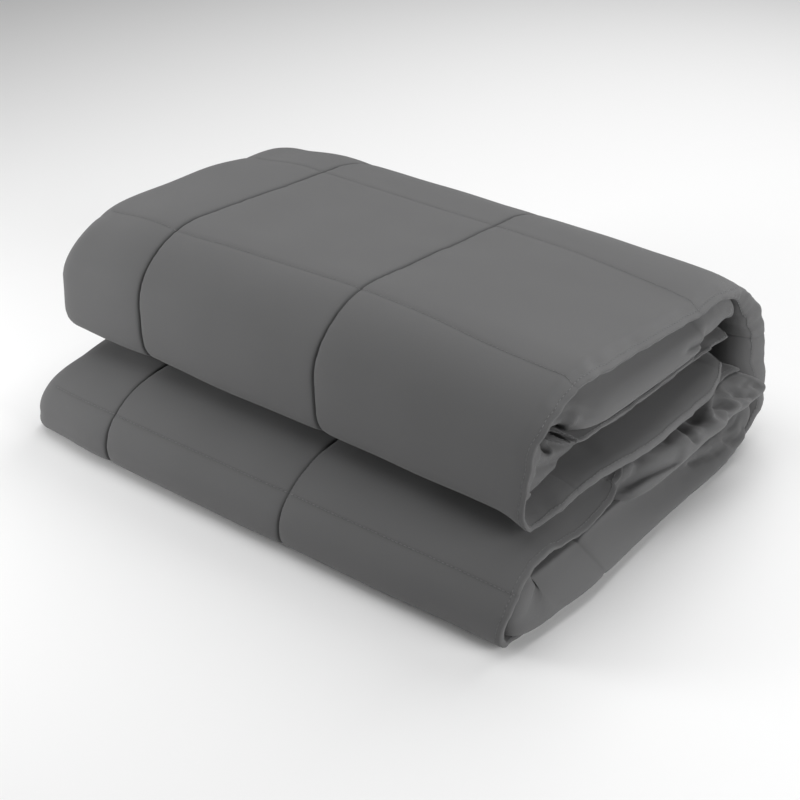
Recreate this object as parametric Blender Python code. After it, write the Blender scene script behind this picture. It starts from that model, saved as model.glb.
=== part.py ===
"""Weighted blanket, quilted in squares and folded for storage.

The blanket is folded back and forth in its length into a strip of four plies. The two ends of
the strip are folded in to its middle, and the strip is then folded once more at the middle.
That gives two rolls at the front, one above the other, and one spine at the back.

Metres, +Z up. X runs along the rolls, with the hems at +X and the closed folds at -X. The
rolls face -Y and the spine faces +Y. The origin is under the middle of the stack.
"""

from typing import NamedTuple

import bmesh
import bpy
import numpy as np

CELL = 0.200            # side of one quilted square: the tables below count in squares
PLIES = 4               # plies in the folded strip
GAP_SHARE = 0.10        # share of each ply's height that is left open beside it
SEAM_PINCH = 0.68       # share of a ply's height that a seam along the strip takes away
CROSS_PINCH = 0.48      # the same for a seam across the strip
HEM_KEEP = 0.60         # share of a ply's height that is left at a hem
SEAM_REACH = 0.060      # how fast the filling swells away from a seam
PRESSED = 0.0016        # how far the weight flattens the underside, in metres
ALONG_SEAMS = (0.0, -1.0, -2.0)     # where the seams along the strip lie in X
CROSS_SEAMS = (0.10, 1.10, 2.10, 3.10, 3.99, 4.88, 5.77, 6.65, 7.54)  # along its path
FOLD_SWELL = 0.085      # how far a right hand fold swells past its two plies
FOLD_SQUARE = 0.70      # 1 is a round fold, less is squarer
LEFT_SWELL = 0.085      # the same for a left hand fold
ROLL_GAP = 0.015        # between the two runs that one roll holds

COLOUR = (0.150, 0.150, 0.152, 1.0)
ROUGHNESS = 0.86


class Bend(NamedTuple):
    """One turn of the strip: a rounded outline outside, and a smaller one inside."""

    name: str
    outer_y: float      # middle of the outer outline
    outer_z: float
    outer_reach: float  # half width in Y
    rise: float         # height over the middle
    drop: float         # depth under the middle
    square_above: float  # 2 is an ellipse, more is squarer
    square_below: float
    inner_y: float      # middle of the inner outline
    inner_z: float
    inner_reach: float
    inner_rise: float
    inner_square: float
    first: float        # angles in degrees, from +Y towards +Z
    last: float


BENDS = (
    Bend("upper roll", 0.620, 0.708, 0.400, 0.305, 0.310, 2.0, 5.0,
         0.530, 0.712, 0.040, ROLL_GAP / 2, 2.0, 270.0, 90.0),
    Bend("spine", 1.500, 0.375, 0.620, 0.582, 0.375, 2.0, 2.3,
         1.500, 0.458, 0.360, 0.236, 3.0, 90.0, -90.0),
    Bend("lower roll", 0.350, 0.130, 0.400, 0.245, 0.130, 2.0, 4.5,
         0.240, 0.190, 0.035, ROLL_GAP / 2, 2.0, 270.0, 90.0),
)


class End(NamedTuple):
    """Where the strip starts or stops: one line from its outer to its inner face."""

    name: str
    y: float
    outer_z: float
    inner_z: float


UPPER_END = End("upper inside end", 1.700, 0.462, 0.662)
LOWER_END = End("lower inside end", 1.800, 0.455, 0.302)


class Edge(NamedTuple):
    """The strip's two ends in X at one place of its path, in squares from the hem line."""

    place: float        # 1 to 2 is the upper roll, 3 to 4 the spine, 5 to 6 the lower roll
    outer_hem: float
    fold: float
    inner_hem: float
    fall: float         # share of the strip's height that is lost over the hems
    squeeze: float      # share that is lost under them, less than 0 where the fold swells
    droop: float        # how far the outer hem hangs over the plies under it
    lean: float         # how much further the fold swells towards its inner side
    back: float         # how far the strip is set to the back at its hem end
    left: float         # where the left hand folds end
    left_fall: float    # share of the strip's height that is lost over those folds


EDGES = (
    Edge(0.00, 0.060, 0.020, 0.010, 0.10, 0.10, 0.00, -0.045, 0.000, -2.500, 0.12),
    Edge(0.60, 0.060, 0.025, 0.020, 0.12, 0.15, 0.00, -0.045, 0.000, -2.540, 0.04),
    Edge(0.90, 0.045, 0.020, 0.020, 0.08, 0.12, 0.00, -0.045, 0.000, -2.560, 0.00),
    Edge(1.02, 0.020, 0.000, 0.000, 0.04, 0.06, -0.14, -0.035, 0.000, -2.560, 0.00),
    Edge(1.18, 0.000, -0.020, -0.030, 0.00, 0.02, -0.17, -0.020, 0.000, -2.560, 0.00),
    Edge(1.32, 0.000, -0.040, -0.060, 0.00, 0.00, -0.08, 0.000, 0.000, -2.560, 0.00),
    Edge(1.50, 0.015, -0.050, -0.090, 0.04, 0.00, 0.00, 0.000, 0.000, -2.540, 0.04),
    Edge(1.85, 0.045, -0.030, -0.010, 0.12, -0.08, 0.00, 0.035, 0.000, -2.490, 0.12),
    Edge(2.15, 0.045, -0.010, 0.015, 0.18, -0.23, 0.00, 0.045, 0.000, -2.500, 0.10),
    Edge(2.50, 0.035, 0.000, 0.020, 0.25, -0.24, 0.00, 0.045, 0.000, -2.520, 0.09),
    Edge(2.85, 0.028, 0.005, 0.010, 0.28, -0.20, 0.06, 0.045, 0.000, -2.530, 0.13),
    Edge(3.02, 0.025, 0.010, -0.030, 0.21, -0.18, 0.16, 0.035, 0.000, -2.540, 0.15),
    Edge(3.14, 0.020, 0.010, -0.150, 0.15, -0.14, 0.20, 0.010, 0.000, -2.550, 0.14),
    Edge(3.24, 0.015, -0.120, -0.280, 0.11, 0.00, 0.14, 0.000, 0.000, -2.550, 0.12),
    Edge(3.34, 0.020, -0.270, -0.350, 0.05, 0.14, 0.00, 0.000, 0.000, -2.560, 0.11),
    Edge(3.50, 0.030, -0.280, -0.360, 0.00, 0.30, -0.08, 0.000, 0.000, -2.560, 0.10),
    Edge(3.62, 0.055, -0.080, -0.280, 0.00, 0.36, -0.06, 0.000, 0.000, -2.550, 0.10),
    Edge(3.70, 0.070, 0.080, -0.200, 0.00, 0.32, 0.00, -0.010, 0.000, -2.550, 0.09),
    Edge(3.86, 0.060, 0.105, -0.120, 0.00, 0.30, 0.00, -0.025, 0.000, -2.550, 0.08),
    Edge(4.10, 0.050, 0.095, -0.060, 0.00, 0.20, 0.00, -0.040, 0.000, -2.560, 0.02),
    Edge(4.50, 0.055, 0.110, -0.040, 0.00, 0.05, 0.00, -0.040, 0.000, -2.570, 0.00),
    Edge(4.80, 0.070, 0.130, -0.020, 0.00, -0.07, 0.00, -0.035, 0.010, -2.560, 0.00),
    Edge(5.10, 0.085, 0.120, 0.000, 0.02, 0.02, 0.00, -0.020, 0.035, -2.555, 0.00),
    Edge(5.50, 0.090, -0.010, -0.050, 0.04, 0.00, 0.00, 0.000, 0.055, -2.500, 0.12),
    Edge(5.90, 0.075, -0.150, -0.110, 0.05, 0.08, 0.36, 0.000, 0.055, -2.450, 0.18),
    Edge(6.16, 0.085, -0.150, -0.110, 0.05, 0.17, 0.56, 0.000, 0.040, -2.480, 0.14),
    Edge(6.28, 0.075, -0.140, -0.080, 0.05, 0.12, 0.28, 0.000, 0.025, -2.490, 0.13),
    Edge(6.36, 0.040, -0.060, -0.020, 0.03, 0.02, 0.05, 0.000, 0.015, -2.500, 0.13),
    Edge(6.46, 0.000, 0.090, 0.000, 0.00, -0.36, 0.00, 0.000, 0.000, -2.500, 0.12),
    Edge(6.60, 0.000, 0.150, 0.020, 0.00, -0.26, 0.00, -0.015, 0.000, -2.500, 0.12),
    Edge(6.80, 0.020, 0.175, 0.030, 0.00, -0.10, 0.00, -0.020, 0.000, -2.500, 0.12),
    Edge(7.00, 0.060, 0.195, 0.040, 0.02, -0.08, 0.00, -0.020, 0.000, -2.500, 0.12),
)

# How the four plies share the strip's height, from the outer face (0) to the inner face (1),
# in its middle and at its right hand end, where the hems are thin and the fold is full.
MIDDLE_SHARES = (0.0, 0.25, 0.75, 1.0)
HEM_SHARES = (0.0, 0.11, 0.92, 1.0)
HEM_TAPER = 0.45        # length over which the shares change
FALL_TAPER = 0.70       # length over which the strip falls towards its hem
LEFT_TAPER = 0.40       # length over which it falls towards the left hand folds
DROOP_FROM = -0.14      # where the outer hem starts to hang down, and over what length
DROOP_LENGTH = 0.26

HEM_STOPS = (-0.02, -0.15)      # points of the outer ply's two faces next to its hem
OUTER_STOPS = (-0.30, -0.60, -0.90, -0.97, -1.0, -1.03, -1.10, -1.35,
               -1.65, -1.90, -1.97, -2.0, -2.03, -2.10, -2.26)
INNER_STOPS = (-0.55, -1.0, -1.5, -2.0, -2.26)
CROSS_STOPS = (-0.06, 0.06, 0.25, 0.5, 0.75)    # stations after each seam across the strip
BEND_STATIONS = (10, 14, 9)     # stations round each bend
LEAST_STEP = 0.050      # stations closer than this along the path are left out
DENSE = 48              # points worked out along each stretch of the path
LEFT_ARC = 5            # points round a left hand fold
FOLD_ARC = 7            # points round the right hand fold
TURN_DEPTH = 0.03       # how far a gap stops short of the fold that closes it


def smooth(value):
    """0 below 0, 1 above 1, and an even S between."""
    value = np.clip(value, 0.0, 1.0)
    return value * value * (3.0 - 2.0 * value)


def rounded(angle, centre, reach, rise, drop, above, below):
    """A point at this angle of an outline whose upper and lower halves are unlike."""
    cosine, sine = np.cos(angle), np.sin(angle)
    power = 2.0 / np.where(sine >= 0.0, above, below)
    height = np.where(sine >= 0.0, rise, drop)
    across = reach * np.sign(cosine) * np.abs(cosine) ** power
    up = height * np.sign(sine) * np.abs(sine) ** power
    return np.stack([centre[0] + across, centre[1] + up], axis=1)


def bend_lines(bend):
    """The outer and the inner outline of one bend, point by point."""
    angle = np.radians(np.linspace(bend.first, bend.last, DENSE + 1))
    outer = rounded(angle, (bend.outer_y, bend.outer_z), bend.outer_reach,
                    bend.rise, bend.drop, bend.square_above, bend.square_below)
    inner = rounded(angle, (bend.inner_y, bend.inner_z), bend.inner_reach,
                    bend.inner_rise, bend.inner_rise, bend.inner_square, bend.inner_square)
    return outer, inner


def run_line(start, stop):
    """A straight stretch between two bends, without its two end points."""
    step = np.linspace(0.0, 1.0, DENSE + 1)[1:-1, None]
    return start + (stop - start) * step


def guide_lines():
    """Place, outer line and inner line of the whole path, from the upper to the lower end."""
    ends = [(np.array([[end.y, end.outer_z]]), np.array([[end.y, end.inner_z]]))
            for end in (UPPER_END, LOWER_END)]
    pieces = [ends[0], *[bend_lines(bend) for bend in BENDS], ends[1]]
    lines = []
    for side in (0, 1):
        parts = [pieces[0][side]]
        for before, after in zip(pieces[:-1], pieces[1:]):
            parts += [run_line(before[side][-1], after[side][0]), after[side]]
        lines.append(np.concatenate(parts))
    place = np.linspace(0.0, 2.0 * len(BENDS) + 1.0, len(lines[0]))
    return place, lines[0], lines[1]


def lengths_along(line):
    """How far each point of a line lies from its start."""
    steps = np.linalg.norm(np.diff(line, axis=0), axis=1)
    return np.concatenate([[0.0], np.cumsum(steps)])


def stations(place, length):
    """The places along the path at which the strip's section is set, the seams first."""
    wanted = list(CROSS_SEAMS)
    for index, count in enumerate(BEND_STATIONS):
        turns = np.linspace(2 * index + 1, 2 * index + 2, count + 1)
        wanted += list(np.interp(turns, place, length))
    wanted += [seam + stop for seam in CROSS_SEAMS for stop in CROSS_STOPS]
    kept = [0.0, length[-1]]
    for value in wanted:
        inside = 0.0 < value < length[-1]
        if inside and min(abs(value - other) for other in kept) >= LEAST_STEP:
            kept.append(value)
    return np.interp(np.sort(kept), length, place)


def swell(distance):
    """How full the filling is at this distance from a seam, from 0 to 1."""
    return 1.0 - np.exp(-np.abs(distance) / SEAM_REACH)


def half_height(x, cross):
    """Half of a ply's height, as a share of the strip's height, pinched at the seams."""
    nearest = np.min([np.abs(x - seam) for seam in ALONG_SEAMS], axis=0)
    along = 1.0 - SEAM_PINCH * (1.0 - swell(nearest))
    across = 1.0 - CROSS_PINCH * (1.0 - swell(cross))
    return 0.5 / PLIES * (1.0 - GAP_SHARE) * along * across


def face(ply, outward, xs, cross):
    """One face of a ply: its X and its share through the strip."""
    middle = (ply + 0.5) / PLIES
    return np.stack([xs, middle - outward * half_height(xs, cross)], axis=1)


def arc(x, reach, ply_from, ply_to, height, count, turn, square=1.0, lean=0.0):
    """The round outside of a fold between two plies, from one face to the other."""
    angle = np.linspace(0.0, np.pi, count + 2)[1:-1]
    first, last = (ply_from + 0.5) / PLIES, (ply_to + 0.5) / PLIES
    half = abs(last - first) / 2 + height
    way = 1.0 if ply_to > ply_from else -1.0
    share = (first + last) / 2 - way * half * np.cos(angle)
    swollen = turn * reach * np.sin(angle) ** square + lean * np.sin(2.0 * angle)
    return np.stack([x + swollen, share], axis=1)


def hem(x, ply, outward):
    """The thin edge of a ply that ends in a hem, from the face named to the other."""
    middle = (ply + 0.5) / PLIES
    half = 0.5 / PLIES * (1.0 - GAP_SHARE) * HEM_KEEP
    return np.array([[x, middle - outward * half], [x, middle + outward * half]])


def section(edge, cross):
    """The closed outline of the four plies at one station, as X, share and ply number."""
    full = float(half_height(np.array([-0.5]), cross)[0])
    left_x = edge.left + LEFT_SWELL
    fold_x = edge.fold - FOLD_SWELL
    outside = np.array(HEM_STOPS + OUTER_STOPS)
    leftward = np.array(INNER_STOPS)
    rightward = leftward[::-1]
    rows = (
        (0.0, face(0, 1, outside, cross)),
        (0.5, arc(left_x, LEFT_SWELL, 0, 1, full, LEFT_ARC, -1.0)),
        (1.0, face(1, -1, rightward, cross)),
        (1.5, np.array([[fold_x - TURN_DEPTH, 0.5]])),
        (2.0, face(2, 1, leftward, cross)),
        (2.5, arc(left_x, LEFT_SWELL, 2, 3, full, LEFT_ARC, -1.0)),
        (3.0, face(3, -1, rightward, cross)),
        (3.0, hem(edge.inner_hem, 3, -1)),
        (3.0, face(3, 1, leftward, cross)),
        (2.5, np.array([[left_x + TURN_DEPTH, 0.75]])),
        (2.0, face(2, -1, rightward, cross)),
        (1.5, arc(fold_x, FOLD_SWELL, 2, 1, full, FOLD_ARC, 1.0, FOLD_SQUARE, edge.lean)),
        (1.0, face(1, 1, leftward, cross)),
        (0.5, np.array([[left_x + TURN_DEPTH, 0.25]])),
        (0.0, face(0, -1, np.array(HEM_STOPS + INNER_STOPS)[::-1], cross)),
        (0.0, hem(edge.outer_hem, 0, -1)),
    )
    points = np.concatenate([row for _, row in rows])
    plies = np.concatenate([np.full(len(row), ply) for ply, row in rows])
    return points[:, 0], points[:, 1], plies


def settled(x, share, plies, edge):
    """The shares after the plies have settled: thin hems, a full fold, ends that fall away."""
    at_hem = np.interp(share, MIDDLE_SHARES, HEM_SHARES)
    near_hem = smooth((x + HEM_TAPER) / HEM_TAPER)
    share = share + (at_hem - share) * near_hem
    share = share + edge.droop * smooth((x - DROOP_FROM) / DROOP_LENGTH) * (plies < 0.25)
    share = share * (1.0 - edge.squeeze * near_hem)
    falling = edge.fall * smooth((x + FALL_TAPER) / FALL_TAPER)
    falling = falling + edge.left_fall * smooth((ALONG_SEAMS[-1] - 0.10 - x) / LEFT_TAPER)
    return 1.0 - (1.0 - share) * (1.0 - falling)


def strip_rings():
    """The strip's section at every station, in metres, one ring of points for each."""
    place, outer, inner = guide_lines()
    length = lengths_along(outer)
    columns = np.array(EDGES)
    width = -min(edge.left for edge in EDGES)
    rings = []
    for at in stations(place, length):
        edge = Edge(at, *[np.interp(at, columns[:, 0], column) for column in columns.T[1:]])
        cross = np.abs(np.interp(at, place, length) - np.array(CROSS_SEAMS)).min()
        x, share, plies = section(edge, cross)
        share = settled(x, share, plies, edge)
        start, stop = [np.array([np.interp(at, place, line[:, k]) for k in (0, 1)])
                       for line in (outer, inner)]
        spot = start + (stop - start) * share[:, None]
        spot[:, 0] += edge.back * (1.0 + x / width)
        rings.append(np.column_stack([x, spot]))
    return np.array(rings) * CELL


def stood(rings):
    """The rings set with their box's middle over the origin and the underside pressed flat."""
    rings = rings.copy()
    rings[..., 2] = np.maximum(rings[..., 2] - PRESSED, 0.0)
    low, high = rings.min(axis=(0, 1)), rings.max(axis=(0, 1))
    rings[..., :2] -= (low[:2] + high[:2]) / 2
    return rings


def loft(name, rings):
    """A closed mesh through rings of equal count, capped at both ends."""
    build = bmesh.new()
    verts = [[build.verts.new(point) for point in ring] for ring in rings.tolist()]
    count = len(verts[0])
    for before, after in zip(verts[:-1], verts[1:]):
        for i in range(count):
            j = (i + 1) % count
            build.faces.new((before[i], before[j], after[j], after[i]))
    build.faces.new(verts[0][::-1])
    build.faces.new(verts[-1])
    bmesh.ops.recalc_face_normals(build, faces=build.faces)
    mesh = bpy.data.meshes.new(name)
    build.to_mesh(mesh)
    build.free()
    return mesh


def cotton():
    """The plain dark grey cotton of the cover."""
    material = bpy.data.materials.new("cotton_cover")
    material.use_nodes = True
    shader = material.node_tree.nodes["Principled BSDF"]
    shader.inputs["Base Color"].default_value = COLOUR
    shader.inputs["Roughness"].default_value = ROUGHNESS
    shader.inputs["Metallic"].default_value = 0.0
    return material


def main():
    """Clear the scene, then make the blanket in a collection of its own."""
    for old in list(bpy.data.objects):
        bpy.data.objects.remove(old, do_unlink=True)
    parts = bpy.data.collections.new("weighted blanket")
    bpy.context.scene.collection.children.link(parts)
    mesh = loft("blanket", stood(strip_rings()))
    mesh.materials.append(cotton())
    mesh.shade_smooth()
    mesh.set_sharp_from_angle(angle=np.radians(50.0))
    parts.objects.link(bpy.data.objects.new("blanket", mesh))


main()
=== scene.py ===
"""Looks of a weighted blanket: dark grey cotton, quilted in squares and folded for storage.

The blanket is folded back and forth in its length into a strip of four plies. The two ends of
the strip are folded in to its middle, and the strip is then folded once more at the middle. Its
surface is worked out on a grid: one parameter runs along the strip's path, and the other round
the outline of its section.

Lengths are in quilted squares, except where a name ends in _m. The frame is in metres, +Z up,
with X along the rolls towards the hems and -Y towards the front.
"""

import logging
import math
from dataclasses import dataclass, fields
from enum import Enum
from typing import Any

import bpy
import numpy as np
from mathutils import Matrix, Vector

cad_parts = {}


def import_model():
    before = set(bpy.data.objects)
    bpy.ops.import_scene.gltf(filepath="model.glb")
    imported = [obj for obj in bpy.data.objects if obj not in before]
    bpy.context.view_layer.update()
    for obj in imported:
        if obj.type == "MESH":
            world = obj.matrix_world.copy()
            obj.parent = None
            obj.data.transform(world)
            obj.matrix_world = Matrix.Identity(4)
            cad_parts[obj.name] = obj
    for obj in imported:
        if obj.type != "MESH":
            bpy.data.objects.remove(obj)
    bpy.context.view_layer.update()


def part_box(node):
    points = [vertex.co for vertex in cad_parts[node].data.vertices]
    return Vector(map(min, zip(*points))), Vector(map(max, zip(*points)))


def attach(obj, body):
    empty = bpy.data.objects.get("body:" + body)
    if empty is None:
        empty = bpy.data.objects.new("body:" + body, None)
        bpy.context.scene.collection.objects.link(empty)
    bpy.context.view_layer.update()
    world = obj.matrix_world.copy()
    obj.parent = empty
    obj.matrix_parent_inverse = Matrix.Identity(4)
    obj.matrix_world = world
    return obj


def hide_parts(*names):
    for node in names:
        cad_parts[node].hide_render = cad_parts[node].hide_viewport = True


LOG = logging.getLogger("weighted_blanket")
CELL = 0.200            # side of one quilted square, in metres


# ---- Curves and fields ----

def smooth(value: np.ndarray) -> np.ndarray:
    """An even S: 0 below 0, 1 above 1, and 3v² - 2v³ between."""
    value = np.clip(value, 0.0, 1.0)
    return value * value * (3.0 - 2.0 * value)


def near(distance: np.ndarray, reach: float) -> np.ndarray:
    """How near a line is: 1 on it, falling off as e to the power of -distance / reach."""
    return np.exp(-np.abs(distance) / reach)


def nearest(at: np.ndarray, lines: tuple[float, ...]) -> np.ndarray:
    """The distance from each value to the nearest of the lines."""
    return np.min([np.abs(at - line) for line in lines], axis=0)


def eased(at: np.ndarray, places: np.ndarray, rows: np.ndarray) -> np.ndarray:
    """A smooth curve through the rows of a short table.

    Between two rows it is the cubic that meets each with its slope. A row's slope is the
    weighted harmonic mean of the slopes on its two sides, or level where they turn.

    Args:
        at: places to work the curve out at.
        places: the place of each row, in rising order.
        rows: the table, one row for each place.

    Returns:
        One row for each value of at.
    """
    step = np.diff(places)[:, None]
    secant = np.diff(rows, axis=0) / step
    before, after = secant[:-1], secant[1:]
    heavy, light = 2.0 * step[1:] + step[:-1], step[1:] + 2.0 * step[:-1]
    same_way = before * after > 0.0
    safe_before = np.where(same_way, before, 1.0)
    safe_after = np.where(same_way, after, 1.0)
    middle = (heavy + light) / (heavy / safe_before + light / safe_after)
    slope = np.concatenate([secant[:1], np.where(same_way, middle, 0.0), secant[-1:]])
    index = np.clip(np.searchsorted(places, at) - 1, 0, len(places) - 2)
    width = step[index]
    t = (at[:, None] - places[index][:, None]) / width
    t = np.clip(t, 0.0, 1.0)
    start = rows[index] * (1.0 + 2.0 * t) + slope[index] * width * t
    stop = rows[index + 1] * (3.0 - 2.0 * t) - slope[index + 1] * width * (1.0 - t)
    return start * (1.0 - t) ** 2 + stop * t ** 2


def graded(low: float, high: float, count: int, fine: list[tuple[float, float, float]],
           fixed: tuple[float, ...] = (), samples: int = 4000) -> np.ndarray:
    """Points from low to high that lie closer together where the cloth needs more of them.

    The density is 1 plus, for each fine spot, its gain times e to the power of minus the
    squared distance over its squared width. The points stand where its running sum is even.

    Args:
        low: first point.
        high: last point.
        count: how many points.
        fine: centre, width and gain of each fine spot.
        fixed: values that the nearest point is moved onto.
        samples: in how many places the density is worked out.

    Returns:
        The points, rising.
    """
    line = np.linspace(low, high, samples)
    density = np.ones_like(line)
    for centre, width, gain in fine:
        density += gain * np.exp(-((line - centre) / width) ** 2)
    total = np.concatenate([[0.0], np.cumsum((density[1:] + density[:-1]) / 2)])
    points = np.interp(np.linspace(0.0, total[-1], count), total, line)
    for value in fixed:
        points[np.argmin(np.abs(points - value))] = value
    return points


def unit(vectors: np.ndarray) -> np.ndarray:
    """Vectors brought to length 1."""
    return vectors / np.maximum(np.linalg.norm(vectors, axis=-1, keepdims=True), 1e-12)


def lengths_along(line: np.ndarray) -> np.ndarray:
    """How far each point of a line lies from its start."""
    steps = np.linalg.norm(np.diff(line, axis=0), axis=1)
    return np.concatenate([[0.0], np.cumsum(steps)])


@dataclass(frozen=True)
class Unevenness:
    """A fixed irregular field on the cloth, of about -1 to 1."""

    seed: int
    longest: float
    shortest: float
    waves: int = 22
    peak: float = 1.6       # what the sum comes to at its usual highest

    def at(self, along: np.ndarray, across: np.ndarray) -> np.ndarray:
        """The field at each point of the cloth.

        It is the sum of plane waves, cos(2π d / length + phase), where d is the distance in a
        seeded direction, over the square root of half their number and over the peak.

        Args:
            along: distance along the strip.
            across: distance across it.

        Returns:
            The field, in the arguments' common shape.
        """
        dice = np.random.default_rng(self.seed)
        way = dice.uniform(0.0, np.pi, self.waves)
        length = np.exp(dice.uniform(np.log(self.shortest), np.log(self.longest), self.waves))
        phase = dice.uniform(0.0, 2.0 * np.pi, self.waves)
        total = np.zeros(np.broadcast(along, across).shape)
        for angle, size, start in zip(way, length, phase):
            distance = along * np.cos(angle) + across * np.sin(angle)
            total += np.cos(2.0 * np.pi * distance / size + start)
        return total / np.sqrt(self.waves / 2.0) / self.peak


# ---- The strip's path, seen from the side ----

@dataclass(frozen=True)
class Oval:
    """A rounded outline round a middle."""

    y: float
    z: float
    reach: float            # half width in Y
    rise: float             # height over the middle
    drop: float             # depth under the middle
    square_above: float     # 2 is an ellipse, more is squarer
    square_below: float

    def points(self, angle: np.ndarray) -> np.ndarray:
        """The outline at some angles from +Y towards +Z.

        A point at angle a lies reach · cos(a) to the power of 2 / square from the middle in Y,
        and rise or drop · sin(a) to the same power in Z.

        Args:
            angle: the angles.

        Returns:
            Y and Z of each point.
        """
        cosine, sine = np.cos(angle), np.sin(angle)
        power = 2.0 / np.where(sine >= 0.0, self.square_above, self.square_below)
        height = np.where(sine >= 0.0, self.rise, self.drop)
        return np.stack([self.y + self.reach * np.sign(cosine) * np.abs(cosine) ** power,
                         self.z + height * np.sign(sine) * np.abs(sine) ** power], axis=1)


@dataclass(frozen=True)
class Bend:
    """One turn of the strip, between two angles in degrees."""

    outer: Oval
    inner: Oval
    first: float
    last: float

    def lines(self, count: int) -> list[np.ndarray]:
        """The outer and the inner outline of the bend, in a number of steps."""
        angle = np.radians(np.linspace(self.first, self.last, count + 1))
        return [oval.points(angle) for oval in (self.outer, self.inner)]


@dataclass(frozen=True)
class StripEnd:
    """Where the strip starts or stops: one line from its outer to its inner face."""

    y: float
    outer_z: float
    inner_z: float


@dataclass(frozen=True)
class SidePath:
    """The strip's outer and inner line, matched point by point along the outer line."""

    upper_end: StripEnd = StripEnd(1.700, 0.462, 0.662)
    upper_roll: Bend = Bend(Oval(0.620, 0.708, 0.400, 0.305, 0.310, 2.0, 5.0),
                            Oval(0.530, 0.712, 0.040, 0.0075, 0.0075, 2.0, 2.0), 270.0, 90.0)
    spine: Bend = Bend(Oval(1.500, 0.375, 0.620, 0.582, 0.375, 2.0, 2.3),
                       Oval(1.500, 0.458, 0.360, 0.236, 0.236, 3.0, 3.0), 90.0, -90.0)
    lower_roll: Bend = Bend(Oval(0.350, 0.130, 0.400, 0.245, 0.130, 2.0, 4.5),
                            Oval(0.240, 0.190, 0.035, 0.0075, 0.0075, 2.0, 2.0), 270.0, 90.0)
    lower_end: StripEnd = StripEnd(1.800, 0.455, 0.302)
    dense: int = 160        # points worked out along each stretch
    step: float = 0.005     # spacing of the finished lines
    softness: float = 0.030  # over what length a change of slope is eased
    bell_reach: float = 4.0  # how far the easing's bell is followed, in such lengths

    def bends(self) -> tuple[Bend, ...]:
        """The three bends in the order of the path."""
        return self.upper_roll, self.spine, self.lower_roll

    def table(self) -> tuple[np.ndarray, np.ndarray, np.ndarray]:
        """The whole path, evenly spaced along the outer line.

        The bends are joined by straight runs, the points are spaced evenly, and both lines are
        then averaged with a bell shaped weight of the softness, turned over at the two ends.

        Returns:
            Length from the start, place (1 to 2 is the upper roll, 3 to 4 the spine and 5 to 6
            the lower roll), and Y, Z of the outer and Y, Z of the inner line.
        """
        first, last = [(np.array([[end.y, end.outer_z]]), np.array([[end.y, end.inner_z]]))
                       for end in (self.upper_end, self.lower_end)]
        pieces = [first, *[bend.lines(self.dense) for bend in self.bends()], last]
        between = np.linspace(0.0, 1.0, self.dense + 1)[1:-1, None]
        sides = []
        for side in (0, 1):
            parts = [pieces[0][side]]
            for before, after in zip(pieces[:-1], pieces[1:]):
                start, stop = before[side][-1], after[side][0]
                parts += [start + (stop - start) * between, after[side]]
            sides.append(np.concatenate(parts))
        rough = np.hstack(sides)
        travelled = lengths_along(sides[0])
        place = np.linspace(0.0, 2.0 * len(self.bends()) + 1.0, len(rough))
        length = np.linspace(0.0, travelled[-1], int(travelled[-1] / self.step))
        even = np.stack([np.interp(length, travelled, column) for column in rough.T], axis=1)
        reach = int(self.bell_reach * self.softness / self.step)
        bell = np.exp(-0.5 * (np.arange(-reach, reach + 1) * self.step / self.softness) ** 2)
        padded = np.concatenate([2 * even[0] - even[reach:0:-1], even,
                                 2 * even[-1] - even[-2:-reach - 2:-1]])
        eased_lines = np.stack([np.convolve(column, bell / bell.sum(), "valid")
                                for column in padded.T], axis=1)
        return length, np.interp(length, travelled, place), eased_lines


# ---- The section of the four plies ----

@dataclass(frozen=True)
class Edge:
    """Where the strip ends at one place of its path, in X from the hem line, and its form."""

    place: float
    outer_hem: float        # where the outer hem ends
    fold: float             # where the right hand fold ends
    inner_hem: float        # where the inner hem ends
    fall: float             # share of the strip's height that is lost over the hems
    squeeze: float          # share lost under them, less than 0 where the fold swells
    droop: float            # how far the outer hem hangs over the plies under it
    curl: float             # how far the very edge of the outer hem turns down
    lean: float             # how much further the fold swells towards its inner side
    back: float             # how far the strip is set to the back at its hem end
    lip: float              # share of the strip's height that the outer hem takes
    heave: float            # how much the hem end swells to the inner side
    left: float             # where the left hand folds end
    left_fall: float        # share of the strip's height that is lost over those folds


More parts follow.
